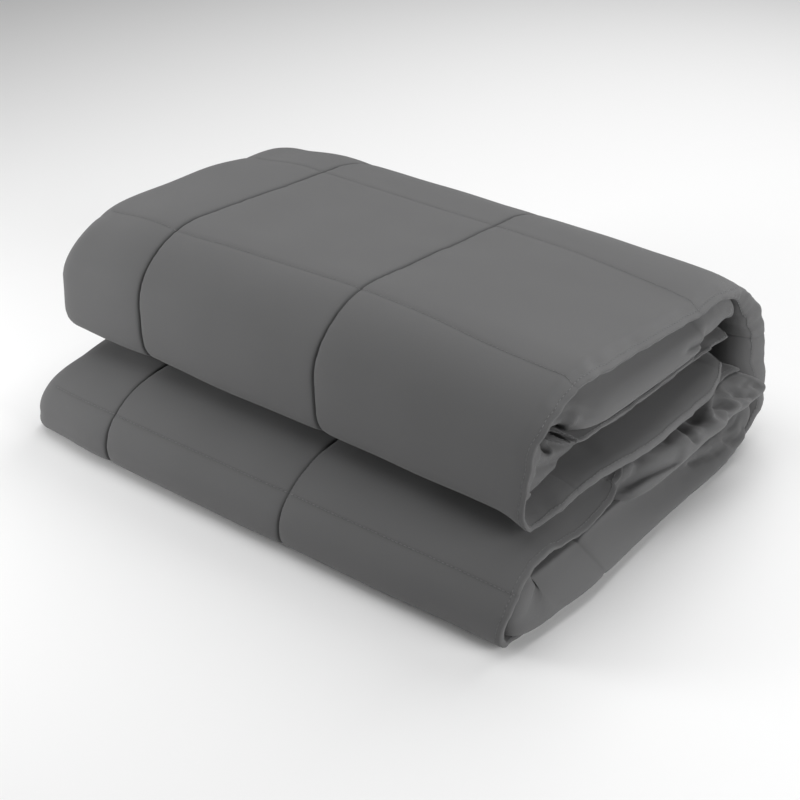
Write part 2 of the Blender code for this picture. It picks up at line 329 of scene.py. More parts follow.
EDGES = tuple(Edge(*row) for row in (
    # Place, outer_hem, fold, inner_hem, fall, squeeze, droop, curl, lean, back, lip, heave,
    # left and left_fall.
    (0.00, -0.06, -0.08, -0.04, 0.1, 0.1, 0, 0, -0.03, 0.055, 0.2, 0, -2.5, 0.12),
    (0.05, 0.02, -0.08, 0.03, 0.1, 0.1, 0, 0, -0.02, 0.055, 0.24, 0, -2.5, 0.12),
    (0.30, 0.1, -0.085, 0.03, 0.1, 0.1, -0.05, 0, -0.02, 0.045, 0.3, 0, -2.5, 0.12),
    (0.60, 0.1, -0.085, 0.03, 0.12, 0.15, -0.07, 0, -0.02, 0.03, 0.32, 0, -2.54, 0.04),
    (0.90, 0.04, -0.085, 0.02, 0.08, 0.12, -0.06, 0, -0.02, 0.01, 0.26, 0, -2.56, 0),
    (1.02, 0.01, -0.07, 0, 0.04, 0.06, -0.14, 0, -0.02, 0, 0.18, 0, -2.56, 0),
    (1.18, 0, -0.05, -0.03, 0, 0.02, -0.17, 0, -0.02, 0, 0.09, 0, -2.56, 0),
    (1.32, 0, -0.04, -0.06, 0, 0, -0.08, 0, 0, 0, 0.09, 0, -2.56, 0),
    (1.50, 0.015, -0.05, -0.09, 0.02, 0, 0, 0.04, 0, 0, 0.09, 0, -2.54, 0.04),
    (1.85, 0.045, -0.03, 0.02, 0.08, -0.08, 0, 0.1, 0.035, 0, 0.09, 0, -2.49, 0.12),
    (2.15, 0.045, 0.03, 0.045, 0.13, -0.23, 0, 0.12, 0.065, 0, 0.09, 0, -2.5, 0.1),
    (2.50, 0.035, 0.03, 0.045, 0.2, -0.24, 0, 0.12, 0.065, 0, 0.09, 0, -2.52, 0.09),
    (2.85, 0.028, 0.03, 0.045, 0.23, -0.2, 0.06, 0.12, 0.065, 0, 0.09, 0, -2.53, 0.13),
    (3.02, 0.025, 0.02, -0.03, 0.17, -0.18, 0.16, 0.1, 0.035, 0, 0.09, 0, -2.54, 0.15),
    (3.14, 0.02, 0.01, -0.12, 0.13, -0.14, 0.2, 0.06, 0.01, 0, 0.2, 0, -2.55, 0.14),
    (3.24, 0.005, 0, -0.2, 0.09, 0, 0.1, 0.04, 0, 0, 0.5, 0, -2.55, 0.12),
    (3.30, 0.015, -0.06, -0.35, 0.06, 0, 0.02, 0.04, 0, 0, 0.72, 0, -2.55, 0.12),
    (3.37, 0.03, -0.62, -0.66, 0.05, 0, 0, 0, 0, 0, 0.8, 0, -2.56, 0.11),
    (3.50, 0.035, -0.62, -0.66, 0, 0, -0.08, 0, 0, 0, 0.8, 0, -2.56, 0.1),
    (3.62, 0.07, -0.25, -0.45, 0, 0.12, -0.06, 0, 0, 0, 0.66, 0, -2.55, 0.1),
    (3.70, 0.09, 0.08, -0.2, 0, 0.26, 0, 0, -0.01, 0, 0.42, 0, -2.55, 0.09),
    (3.86, 0.08, 0.105, -0.12, 0, 0.3, 0, 0, -0.025, 0, 0.12, 0, -2.55, 0.08),
    (4.10, 0.05, 0.095, -0.06, 0, 0.2, 0, 0, -0.04, 0, 0.09, 0.04, -2.56, 0.02),
    (4.50, 0.055, 0.11, -0.04, 0, 0.05, 0, 0, -0.04, 0, 0.09, 0.3, -2.57, 0),
    (4.62, 0.061, 0.118, -0.032, 0, 0, 0, 0, -0.038, 0.004, 0.09, 0.34, -2.566, 0),
    (4.80, 0.07, 0.13, -0.02, 0, -0.07, 0, 0, -0.035, 0.01, 0.09, 0.38, -2.56, 0),
    (5.10, 0.06, 0.105, 0, 0.02, 0.02, 0, 0, -0.03, 0.035, 0.09, 0.44, -2.555, 0),
    (5.50, 0.075, 0.09, -0.05, 0.04, 0, 0, 0, -0.015, 0.055, 0.14, 0.32, -2.5, 0.12),
    (5.70, 0.085, 0.08, -0.05, 0.04, 0, 0, 0, 0, 0.055, 0.18, 0.22, -2.475, 0.15),
    (5.90, 0.075, 0, -0.11, 0.05, 0.08, 0.1, 0, 0, 0.055, 0.22, 0.1, -2.45, 0.18),
    (6.03, 0.08, -0.13, -0.11, 0.05, 0.12, 0.34, 0, 0, 0.048, 0.12, 0, -2.465, 0.16),
    (6.16, 0.085, -0.15, -0.11, 0.05, 0.17, 0.56, 0, 0, 0.04, 0.09, 0, -2.48, 0.14),
    (6.28, 0.075, -0.14, -0.08, 0.05, 0.02, 0.45, 0, 0, 0.025, 0.09, 0, -2.49, 0.13),
    (6.36, 0.04, -0.06, -0.02, 0.03, -0.16, 0.2, 0, 0, 0.015, 0.09, 0, -2.5, 0.13),
    (6.46, 0, 0.09, 0, 0, -0.46, 0, 0, 0, 0, 0.09, 0, -2.5, 0.12),
    (6.60, 0, 0.15, 0.02, 0, -0.34, 0, 0, -0.015, 0, 0.09, 0, -2.5, 0.12),
    (6.80, 0.02, 0.175, 0.03, 0, -0.14, 0, 0, -0.02, 0, 0.09, 0, -2.5, 0.12),
    (7.00, 0.06, 0.195, 0.04, 0.02, -0.08, 0, 0, -0.02, 0, 0.09, 0, -2.5, 0.12),
))


class Kind(Enum):
    """What one stretch of the section's outline is."""

    FACE = "face of a ply"
    HEM = "rounded edge of a hem"
    LEFT_FOLD = "outside of a left hand fold"
    RIGHT_FOLD = "outside of the right hand fold"
    LEFT_CREASE = "inside of a left hand fold"
    RIGHT_CREASE = "inside of the right hand fold"


@dataclass(frozen=True)
class Stretch:
    """One stretch of the section's outline."""

    kind: Kind
    ply: float              # 0 is the outer ply and 3 the inner one; a fold is between two
    side: float = 0.0       # of a face: 1 looks to the strip's outer line, -1 to the inner


OUTLINE = (
    Stretch(Kind.FACE, 0, 1), Stretch(Kind.LEFT_FOLD, 0.5), Stretch(Kind.FACE, 1, -1),
    Stretch(Kind.RIGHT_CREASE, 1.5), Stretch(Kind.FACE, 2, 1), Stretch(Kind.LEFT_FOLD, 2.5),
    Stretch(Kind.FACE, 3, -1), Stretch(Kind.HEM, 3), Stretch(Kind.FACE, 3, 1),
    Stretch(Kind.LEFT_CREASE, 2.5), Stretch(Kind.FACE, 2, -1), Stretch(Kind.RIGHT_FOLD, 1.5),
    Stretch(Kind.FACE, 1, 1), Stretch(Kind.LEFT_CREASE, 0.5), Stretch(Kind.FACE, 0, -1),
    Stretch(Kind.HEM, 0),
)


@dataclass(frozen=True)
class Columns:
    """The grid's columns round the section: what is the same at every station."""

    stretch: np.ndarray     # index in the outline
    ply: np.ndarray
    side: np.ndarray
    cloth_x: np.ndarray     # place across the cloth, 0 at the right hand edge
    turn: np.ndarray        # angle round a fold or a hem, 0 to π


@dataclass(frozen=True)
class Crease:
    """One trough or ridge pressed into the hem end, drawn as seen the way it is pressed."""

    deep: float             # how far it goes in, less than 0 for a ridge
    above: float            # half its width on the upper side
    below: float            # and on the lower side
    line: tuple[tuple[float, float], ...]   # Y and height in that view of each corner
    power: float = 1.4      # 1 has a sharp bottom, 2 a round one

    def weight(self, y: np.ndarray, up: np.ndarray, fade: float) -> np.ndarray:
        """How strongly the crease acts on each point, summed over the pieces of its line.

        A piece gives e to the power of minus (distance beside it / half width) to the crease's
        power, times an even S that falls off at each of its two ends.

        Args:
            y: place of each point to the back.
            up: its height in the view.
            fade: length over which a piece fades at each end.

        Returns:
            The weight, 1 on the line.
        """
        total = np.zeros_like(y)
        for (first_y, first_up), (last_y, last_up) in zip(self.line[:-1], self.line[1:]):
            run, climb = last_y - first_y, last_up - first_up
            long = math.hypot(run, climb)
            along = ((y - first_y) * run + (up - first_up) * climb) / long
            beside = ((up - first_up) * run - (y - first_y) * climb) / long
            beside = beside * math.copysign(1.0, run)
            wide = np.where(beside > 0.0, self.above, self.below)
            ends = smooth(along / fade + 0.5) * smooth((long - along) / fade + 0.5)
            total += np.exp(-(np.abs(beside) / wide) ** self.power) * ends
        return total


@dataclass(frozen=True)
class Crumple:
    """A round patch of small irregular creases, placed like a crease."""

    y: float
    up: float
    reach: float
    deep: float


@dataclass(frozen=True)
class Rumpled:
    """The creases and crumples of one stretch of the path."""

    first: float            # the places between which they act
    last: float
    hems: float             # share that they have on the plies that end in a hem
    creases: tuple[Crease, ...]
    crumples: tuple[Crumple, ...]
    soft: float = 0.15      # over what share of a place they start and stop

    def depth(self, place: np.ndarray, y: np.ndarray, up: np.ndarray, fade: float,
              field: Unevenness) -> np.ndarray:
        """How deep each point is pressed in.

        It is the sum of depth · weight over the creases and, over the crumples, of
        depth · (half - size of the field) · e to the power of -(distance / reach)². The field's
        size has a sharp valley where the field is 0. Both end softly at the two places.

        Args:
            place: each point's place along the path.
            y: its Y.
            up: its height in the view.
            fade: length over which a crease fades at its ends.
            field: the irregular field of the crumples.

        Returns:
            The depths.
        """
        deep = sum((crease.deep * crease.weight(y, up, fade) for crease in self.creases),
                   np.zeros_like(y))
        patches = sum((patch.deep * np.exp(-((y - patch.y) ** 2 + (up - patch.up) ** 2)
                                           / patch.reach ** 2) for patch in self.crumples),
                      np.zeros_like(y))
        deep = deep + patches * (0.5 - np.abs(field.at(y, up)))
        inside = smooth((place - self.first) / self.soft + 0.5)
        return deep * inside * smooth((self.last - place) / self.soft + 0.5)


RUMPLED = (
    # The upper roll and the plies on top of it.
    Rumpled(0.00, 3.14, 0.30, (
        Crease(0.018, 0.018, 0.018, ((0.392, 0.705), (0.517, 0.602))),
        Crease(0.022, 0.014, 0.014, ((0.323, 0.652), (0.52, 0.576))),
        Crease(0.08, 0.026, 0.014, ((0.519, 0.572), (0.552, 0.517))),
        Crease(0.04, 0.01, 0.045, ((0.401, 0.507), (0.731, 0.439), (0.817, 0.44), (0.586, 0.546))),
        Crease(0.05, 0.04, 0.012, ((0.371, 0.449), (0.461, 0.349), (0.425, 0.31))),
        Crease(0.032, 0.012, 0.012, ((1.307, 0.55), (1.419, 0.538))),
        Crease(0.075, 0.034, 0.014, ((1.471, 0.542), (1.651, 0.454))),
        Crease(0.03, 0.012, 0.012, ((1.42, 0.545), (1.729, 0.433))),
    ), (
        Crumple(1.57, 0.49, 0.09, 0.024),
        Crumple(0.53, 0.58, 0.07, 0.018),
    )),
    # The spine.
    Rumpled(3.14, 3.78, 0.30, (
        Crease(0.026, 0.02, 0.034, ((1.866, 0.573), (1.895, 0.506))),
        Crease(0.018, 0.02, 0.026, ((1.895, 0.501), (1.891, 0.516))),
        Crease(0.028, 0.02, 0.03, ((1.913, 0.47), (2.013, 0.416))),
        Crease(0.034, 0.014, 0.022, ((1.963, 0.394), (2.082, 0.343))),
        Crease(0.034, 0.014, 0.022, ((1.985, 0.298), (2.078, 0.26))),
    ), (
        Crumple(1.92, 0.47, 0.16, 0.025),
    )),
    # The lower roll and the plies under it.
    Rumpled(3.78, 7.10, 1.00, (
        Crease(0.024, 0.012, 0.022, ((0.818, 0.285), (0.927, 0.295), (1.022, 0.277))),
        Crease(0.034, 0.014, 0.04, ((1.029, 0.279), (0.984, 0.237), (0.96, 0.211))),
        Crease(0.03, 0.012, 0.018, ((0.961, 0.215), (0.911, 0.198))),
        Crease(0.026, 0.014, 0.014, ((0.829, 0.249), (0.897, 0.184))),
        Crease(0.04, 0.034, 0.01, ((0.907, 0.186), (1.009, 0.187), (1.176, 0.159))),
        Crease(0.024, 0.018, 0.012, ((1.077, 0.308), (1.192, 0.299))),
        Crease(0.026, 0.014, 0.02, ((1.189, 0.296), (1.154, 0.257))),
        Crease(0.07, 0.08, 0.014, ((1.411, 0.305), (1.4, 0.227))),
        Crease(-0.03, 0.014, 0.014, ((1.566, 0.307), (1.408, 0.228))),
        Crease(0.05, 0.012, 0.04, ((1.315, 0.303), (1.277, 0.252))),
        Crease(0.04, 0.02, 0.014, ((1.277, 0.252), (1.278, 0.191))),
        Crease(-0.02, 0.014, 0.014, ((1.311, 0.248), (1.294, 0.205))),
        Crease(0.046, 0.016, 0.02, ((1.507, 0.251), (1.559, 0.247))),
        Crease(0.046, 0.016, 0.02, ((1.557, 0.246), (1.56, 0.212))),
        Crease(0.046, 0.034, 0.012, ((1.621, 0.249), (1.719, 0.194))),
        Crease(0.034, 0.012, 0.024, ((1.526, 0.199), (1.816, 0.105))),
        Crease(0.04, 0.014, 0.02, ((1.847, 0.073), (1.926, 0.012))),
        Crease(0.032, 0.01, 0.03, ((1.718, 0.057), (1.793, 0.041))),
        Crease(0.024, 0.012, 0.02, ((1.637, 0.052), (1.668, 0.018))),
        Crease(0.024, 0.012, 0.02, ((1.442, 0.072), (1.639, 0.046))),
        Crease(0.024, 0.014, 0.014, ((1.713, 0.251), (1.775, 0.256))),
        Crease(0.032, 0.014, 0.02, ((1.754, 0.24), (1.778, 0.21))),
    ), (
        Crumple(1.63, 0.27, 0.20, 0.022),
        Crumple(1.41, 0.26, 0.16, 0.016),
        Crumple(1.84, 0.09, 0.14, 0.020),
    )),
)


@dataclass
class QuiltedStrip:
    """The blanket's cloth: the strip of four plies carried along its path."""

    path: SidePath = SidePath()
    plies: int = 4
    gap_share: float = 0.10         # share of each ply's height left open beside it
    along_seams: tuple[float, ...] = (-1.0, -2.0)
    cross_seams: tuple[float, ...] = (0.10, 1.10, 2.14, 3.10, 3.99, 4.88, 5.77, 6.71, 7.54)
    # The inner plies turn on a shorter path, so they have their own list.
    inner_cross_seams: tuple[float, ...] = (2.10, 3.10, 5.77, 7.54, 8.20)
    hem_seam: float = -0.014        # the hem's topstitching, from the cloth's edge
    puff_reach: float = 0.055       # how fast the filling swells away from a seam
    crease_reach: float = 0.0055    # the sharp valley right at a seam
    along_puff: float = 0.16        # share of a ply's height that the wide valley takes
    along_crease: float = 0.40      # and the sharp one
    cross_puff: float = 0.06        # the same for a seam across the strip, on the outer ply
    cross_crease: float = 0.07
    inner_puff: float = 0.24        # and on the plies inside it
    inner_crease: float = 0.20
    inner_reach: float = 0.010
    hem_keep: float = 0.60          # share of a ply's height that is left at a hem
    hem_reach: float = 0.045
    hem_round: float = 0.010
    hem_pull: float = 0.12          # share of its height that the topstitching takes
    fold_swell: float = 0.085
    fold_square: float = 0.70       # 1 is a round fold, less is squarer
    left_swell: float = 0.085
    turn_depth: float = 0.030
    fold_shares: tuple[float, float] = (0.25, 0.75)     # the shares that the fold is between
    hem_from: float = 0.05          # the share where the outer hem starts
    inner_lip: float = 0.10         # share of the strip's height that the inner hem takes
    left_ease: float = 0.35         # over what length a ply's ends pull the cloth along
    right_ease: float = 0.45
    hem_taper: float = 0.45         # over what length the hems, the falls and the rest act
    fall_taper: float = 0.70
    left_taper: float = 0.40
    left_from: float = 0.10         # where the left hand fall starts, beyond the last seam
    droop_from: float = -0.14
    droop_length: float = 0.26
    curl_length: float = 0.060
    heave_length: float = 0.130
    left_tie: float = -2.40         # the cloth's place where a left hand fold starts
    skew_by: float = 0.045          # how far the upper front seam bows to the back
    skew_at: float = 2.14
    skew_reach: float = 0.45
    skew_width: float = 2.0         # from the hem line to the last seam
    pressed_m: float = 0.0016       # how far the weight flattens the underside
    shown: tuple[tuple[float, float, float], ...] = (   # place, width and gain of fine stations
        (0.1, 0.30, 1.0), (0.9, 0.20, 2.0), (1.7, 0.60, 1.2), (3.3, 0.55, 2.4),
        (4.4, 0.60, 0.8), (5.6, 0.60, 1.2), (6.75, 0.55, 3.6))
    # Width and gain of the fine stations at each seam, of the fine columns at each seam and at
    # the hem of the outer face, and of those at the hem and the fold of the faces inside.
    seam_station: tuple[float, float] = (0.022, 1.6)
    seam_columns: tuple[tuple[float, float], ...] = ((0.012, 14.0), (0.060, 2.0))
    hem_column: tuple[float, float] = (0.10, 2.4)
    end_columns: tuple[tuple[float, float], ...] = ((0.28, 14.0), (0.15, 3.0))
    station_count: int = 385
    outside_columns: int = 84
    inside_columns: int = 14
    fold_columns: int = 43
    left_columns: int = 11
    hem_columns: int = 3

    def width(self) -> float:
        """The strip's width from the hem line to its left hand folds."""
        return -min(edge.left for edge in EDGES)

    def hemmed(self, columns: Columns) -> np.ndarray:
        """Which columns are on one of the two plies that end in a hem."""
        return (columns.ply == 0) | (columns.ply == self.plies - 1)

    def half_ply(self) -> float:
        """Half of a ply's height as a share of the strip's, away from every seam."""
        return 0.5 / self.plies * (1.0 - self.gap_share)

    def columns(self) -> Columns:
        """The columns round the section, closer together at the seams, hems and folds.

        Returns:
            The columns in the order of the outline.
        """
        seams = [(seam, *fine) for seam in self.along_seams for fine in self.seam_columns]
        outside = graded(self.left_tie, 0.0, self.outside_columns,
                         [*seams, (0.0, *self.hem_column)], (*self.along_seams, self.hem_seam))
        ends = zip((0.0, self.left_tie), self.end_columns)
        inside = graded(self.left_tie, 0.0, self.inside_columns,
                        [(end, *fine) for end, fine in ends])
        counts = {Kind.HEM: self.hem_columns, Kind.LEFT_FOLD: self.left_columns,
                  Kind.RIGHT_FOLD: self.fold_columns, Kind.LEFT_CREASE: 1, Kind.RIGHT_CREASE: 1}
        parts = []
        for index, piece in enumerate(OUTLINE):
            if piece.kind is Kind.FACE:
                xs = outside if piece.ply == 0 and piece.side > 0 else inside
                xs = xs[::-1] if piece.side > 0 else xs
                turn = np.zeros(len(xs))
            else:
                turn = np.linspace(0.0, np.pi, counts[piece.kind] + 2)[1:-1]
                at_left = piece.kind in (Kind.LEFT_FOLD, Kind.LEFT_CREASE)
                xs = np.full(len(turn), self.left_tie if at_left else 0.0)
            same = np.ones(len(xs))
            parts.append((index * same, piece.ply * same, piece.side * same, xs, turn))
        return Columns(*[np.concatenate(rows) for rows in zip(*parts)])

    def stations(self, length: np.ndarray, place: np.ndarray) -> np.ndarray:
        """Distances along the path where the section is set, from its lengths and places."""
        fine = [(np.interp(at, place, length), *rest) for at, *rest in self.shown]
        fine += [(seam, *self.seam_station) for seam in self.cross_seams]
        return graded(0.0, length[-1], self.station_count, fine, self.cross_seams)

    def skew(self, station: np.ndarray, across: np.ndarray) -> np.ndarray:
        """How far the cloth lies askew along the path: a bump at one seam, between its ends."""
        bump = self.skew_by * np.exp(-((station - self.skew_at) / self.skew_reach) ** 2)
        return bump * np.sin(np.pi * np.clip(across / self.skew_width + 1.0, 0.0, 1.0)) ** 2

    def cross_gaps(self, station: np.ndarray, ply: np.ndarray) -> np.ndarray:
        """Each point's distance to the nearest seam across the strip, a row for each station."""
        outer, inner = [nearest(station, seams)[:, None]
                        for seams in (self.cross_seams, self.inner_cross_seams)]
        return np.where(ply == 0, outer, inner)

    def thickness(self, columns: Columns, cross: np.ndarray) -> np.ndarray:
        """Half of a ply's height at each point, as a share of the strip's.

        Each seam takes a wide and a sharp bite out of it, each the larger the nearer the seam,
        and a hem thins it down to the share that it keeps.

        Args:
            columns: the grid's columns.
            cross: each point's distance to the nearest seam across the strip.

        Returns:
            Half heights, one row for each station.
        """
        at = columns.cloth_x

        def left(gap: np.ndarray, puff: float, crease: float, reach: float) -> np.ndarray:
            """The share that a seam's wide and sharp bites leave."""
            return 1.0 - puff * near(gap, self.puff_reach) - crease * near(gap, reach)

        along = left(nearest(at, self.along_seams), self.along_puff, self.along_crease,
                     self.crease_reach)
        edge = 1.0 - (1.0 - self.hem_keep) * near(at, self.hem_reach)
        edge -= self.hem_pull * near(at - self.hem_seam, self.crease_reach)
        along = np.where(self.hemmed(columns), along * edge, along)
        outer = left(cross, self.cross_puff, self.cross_crease, self.crease_reach)
        inner = left(cross, self.inner_puff, self.inner_crease, self.inner_reach)
        return self.half_ply() * along[None, :] * np.where(columns.ply == 0, outer, inner)

    def flat_section(self, columns: Columns, edge: Edge,
                     cross: np.ndarray) -> tuple[np.ndarray, np.ndarray]:
        """X and share through the strip of every point, before the plies settle.

        A face's X is its place across the cloth plus the reach of its own two edges, eased in
        near them. A fold or hem goes round half a circle, X + reach · sin and share ± half the
        span · cos of its turn.

        Args:
            columns: the grid's columns.
            edge: the strip's ends at every station, each a column of values.
            cross: each point's distance to the nearest seam across the strip.

        Returns:
            X and share, one row for each station.
        """
        half = self.thickness(columns, cross)
        middle = (columns.ply + 0.5) / self.plies
        left = edge.left + self.left_swell
        fold = edge.fold - self.fold_swell
        right = np.where(columns.ply == 0, edge.outer_hem,
                         np.where(columns.ply == self.plies - 1, edge.inner_hem, fold))
        at_left = smooth((self.left_tie + self.left_ease - columns.cloth_x) / self.left_ease)
        at_right = smooth((columns.cloth_x + self.right_ease) / self.right_ease)
        x = columns.cloth_x + (left - self.left_tie) * at_left + right * at_right
        share = middle - columns.side * half
        kinds = np.array([piece.kind for piece in OUTLINE])[columns.stretch.astype(int)]
        sine, cosine = np.sin(columns.turn), np.cos(columns.turn)
        span = 0.5 / self.plies + half
        rules = {
            Kind.HEM: (self.hem_round * sine, half * cosine),
            Kind.LEFT_FOLD: (-self.left_swell * sine, -span * cosine),
            Kind.RIGHT_FOLD: (self.fold_swell * np.abs(sine) ** self.fold_square
                              + 2.0 * edge.lean * sine * cosine, span * cosine),
            Kind.LEFT_CREASE: (self.turn_depth * sine, 0.0 * half),
            Kind.RIGHT_CREASE: (-self.turn_depth * sine, 0.0 * half),
        }
        for kind, (reach, shift) in rules.items():
            chosen = kinds == kind
            x = np.where(chosen, x + reach, x)
            share = np.where(chosen, middle + shift, share)
        return x, share

    def settled(self, x: np.ndarray, share: np.ndarray, ply: np.ndarray,
                edge: Edge) -> np.ndarray:
        """The shares after the plies have settled: thin hems, a full fold, ends that fall away.

        Near the hems the shares are remapped so that the two hems take their lips. The outer
        hem droops and its very edge curls. All are then scaled by 1 - squeeze + heave, and what
        is left of them to the inner line by 1 - fall.

        Args:
            x: X of every point.
            share: its share before.
            ply: its ply.
            edge: the strip's ends at every station.

        Returns:
            The new shares.
        """
        low, high = self.fold_shares
        below, within, above = [np.clip((share - start) / (stop - start), 0.0, 1.0)
                                for start, stop in ((self.hem_from, low), (low, high),
                                                    (high, 1.0))]
        top = self.inner_lip
        at_hem = edge.lip * below + (1.0 - edge.lip - top) * within + top * above
        near_hem = smooth((x + self.hem_taper) / self.hem_taper)
        share = share + (at_hem - share) * near_hem
        hanging = smooth((x - self.droop_from) / self.droop_length) * (ply == 0)
        curling = smooth((x - edge.outer_hem + self.curl_length) / self.curl_length)
        share = share + edge.droop * hanging + edge.curl * curling * (ply == 0)
        swelling = smooth((x + self.heave_length) / self.heave_length)
        share = share * (1.0 - edge.squeeze * near_hem + edge.heave * swelling)
        falling = edge.fall * smooth((x + self.fall_taper) / self.fall_taper)
        at_left = smooth((self.along_seams[-1] - self.left_from - x) / self.left_taper)
        falling = falling + edge.left_fall * at_left
        return 1.0 - (1.0 - share) * (1.0 - falling)


# ---- Shader maths ----

class Graph:
    """A material's node tree, with one method that adds any node."""

    def __init__(self, name: str) -> None:
        """Starts a new material with an empty tree.

        Args:
            name: the material's name.
        """
        self.material = bpy.data.materials.new(name)
        self.material.use_nodes = True
        self.tree = self.material.node_tree
        self.tree.nodes.clear()

    def add(self, kind: str, settings: dict[str, Any] | None = None,
            output: str | int = 0, **values: Any) -> "Link":
        """Adds a node.

        Args:
            kind: the node's type without the word ShaderNode.
            settings: properties of the node, set first.
            output: the socket that the result stands for.
            values: value or link of each input, by its name in lower case with _ for a space,
                or i and its number.

        Returns:
            The node's output.
        """
        node = self.tree.nodes.new("ShaderNode" + kind)
        for key, value in (settings or {}).items():
            setattr(node, key, value)
        named = {s.name.lower().replace(" ", "_"): s for s in reversed(node.inputs) if s.enabled}
        for key, value in values.items():
            socket = node.inputs[int(key[1:])] if key[1:].isdigit() else named[key]
            if isinstance(value, Link):
                self.tree.links.new(value.socket, socket)
            else:
                socket.default_value = value
        return Link(self, node.outputs[output])

    def mixed(self, share: "Link | float", first: Any, second: Any) -> "Link":
        """A colour between two, by a Mix node on colours."""
        return self.add("Mix", {"data_type": "RGBA"}, 2, i0=share, i6=first, i7=second)

    def surface(self, **values: Any) -> bpy.types.Material:
        """Gives the material its shader.

        Args:
            values: value or link of each of the shader's inputs.

        Returns:
            The material.
        """
        shader = self.add("BsdfPrincipled", **values)
        end = self.tree.nodes.new("ShaderNodeOutputMaterial")
        self.tree.links.new(shader.socket, end.inputs[0])
        return self.material


class Link:
    """An output socket that adds, subtracts and scales as a number."""

    def __init__(self, graph: Graph, socket: bpy.types.NodeSocket) -> None:
        """Keeps the graph and the socket."""
        self.graph, self.socket = graph, socket

    def maths(self, operation: str, first: Any, second: Any = 0.0) -> "Link":
        """One Math node on one or two values or links."""
        return self.graph.add("Math", {"operation": operation}, i0=first, i1=second)

    def __add__(self, other: Any) -> "Link":
        """This plus the other."""
        return self.maths("ADD", self, other)

    def __sub__(self, other: Any) -> "Link":
        """This minus the other."""
        return self.maths("SUBTRACT", self, other)

    def __rsub__(self, other: Any) -> "Link":
        """The other minus this."""
        return self.maths("SUBTRACT", other, self)

    def __mul__(self, other: Any) -> "Link":
        """This times the other."""
        return self.maths("MULTIPLY", self, other)

    __radd__ = __add__
    __rmul__ = __mul__

    def sine(self) -> "Link":
        """The sine of this."""
        return self.maths("SINE", self)


@dataclass(frozen=True)
class CottonFinish:
    """Matt dark grey cotton in a close plain weave."""

    base: tuple[float, float, float, float] = (0.102, 0.102, 0.103, 1.0)
    worn: tuple[float, float, float, float] = (0.116, 0.116, 0.117, 1.0)
    # colour at the bottom of a seam: the seam's own dark line plus painted shade in its groove
    seam: tuple[float, float, float, float] = (0.078, 0.078, 0.079, 1.0)
    roughness: float = 0.86
    sheen: float = 0.12
    cloud_share: float = 0.7        # how much of the tone's change is in wide clouds
    thread_m: float = 0.00045       # pitch of the weave's threads
    weave_depth_m: float = 0.00006
    nap_m: float = 0.00012

    def material(self) -> bpy.types.Material:
        """The cloth's material.

        The weave is sin(π u / pitch) · sin(π v / pitch) of the cloth's own coordinates.
        Two noises on the object's coordinates vary its colour, and the seam attribute darkens the
        bottom of the seams: partly the seam's own dark line, partly painted shade in its groove.

        Returns:
            The material.
        """
        graph = Graph("cotton_cover")
        cloth = graph.add("UVMap", {"uv_map": "cloth"})
        parts = graph.add("SeparateXYZ", vector=cloth)
        warp = (parts * (math.pi / self.thread_m)).sine()
        weft = (Link(graph, parts.socket.node.outputs[1]) * (math.pi / self.thread_m)).sine()
        weave = warp * weft
        where = graph.add("TexCoord", output="Object")
        cloudy = graph.add("TexNoise", vector=where, scale=9.0, detail=3.0, roughness=0.55)
        fine = graph.add("TexNoise", vector=where, scale=900.0, detail=2.0, roughness=0.6)
        seam = graph.add("Attribute", {"attribute_name": "seam"}, output="Fac")
        clouds = cloudy * self.cloud_share + fine * (1.0 - self.cloud_share)
        tone = graph.mixed(clouds, self.base, self.worn)
        # Painted shade: the seam attribute darkens the cloth at the bottom of each seam, for the
        # seam line and for the shade that falls in its groove.
        colour = graph.mixed(seam, tone, self.seam)
        shade = graph.add("Bump", strength=0.55, distance=1.0,
                          height=weave * self.weave_depth_m + fine * self.nap_m)
        return graph.surface(base_color=colour, roughness=self.roughness, normal=shade,
                             sheen_weight=self.sheen, sheen_roughness=0.6,
                             specular_ior_level=0.25)


@dataclass(frozen=True)
class ThreadFinish:
    """The grey sewing thread, a little lighter than the cloth."""

    colour: tuple[float, float, float, float] = (0.190, 0.190, 0.192, 1.0)
    dull: tuple[float, float, float, float] = (0.110, 0.110, 0.112, 1.0)
    roughness: float = 0.60

    def material(self) -> bpy.types.Material:
        """The thread's material, with its tone varied from stitch to stitch by a noise.

        Returns:
            The material.
        """
        graph = Graph("sewing_thread")
        where = graph.add("TexCoord", output="Object")
        patchy = graph.add("TexNoise", vector=where, scale=220.0, detail=1.0)
        return graph.surface(base_color=graph.mixed(patchy, self.dull, self.colour),
                             roughness=self.roughness, specular_ior_level=0.3)


@dataclass(frozen=True)
class FloorFinish:
    """The plain pale studio floor."""

    colour: tuple[float, float, float, float] = (0.86, 0.86, 0.86, 1.0)
    roughness: float = 0.75

    def material(self) -> bpy.types.Material:
        """The floor's material."""
        return Graph("studio_floor").surface(base_color=self.colour, roughness=self.roughness,
                                             specular_ior_level=0.2)


# ---- Pieces ----

def surface_mesh(name: str, points: np.ndarray, faces: list[np.ndarray]) -> bpy.types.Mesh:
    """A mesh from whole arrays.

    Args:
        name: the mesh's name.
        points: vertices in metres, one row each.
        faces: arrays of vertex numbers, each with one row for each face of its kind.

    Returns:
        The mesh, shaded smooth.
    """
    loops = np.concatenate([kind.ravel() for kind in faces]).astype(np.int32)
    sizes = np.concatenate([np.full(len(kind), kind.shape[1]) for kind in faces])
    starts = np.concatenate([[0], np.cumsum(sizes)[:-1]]).astype(np.int32)
    mesh = bpy.data.meshes.new(name)
    mesh.vertices.add(len(points))
    mesh.vertices.foreach_set("co", points.astype(np.float32).ravel())
    mesh.loops.add(len(loops))
    mesh.loops.foreach_set("vertex_index", loops)
    mesh.polygons.add(len(sizes))
    mesh.polygons.foreach_set("loop_start", starts)
    mesh.update(calc_edges=True)
    mesh.shade_smooth()
    return mesh


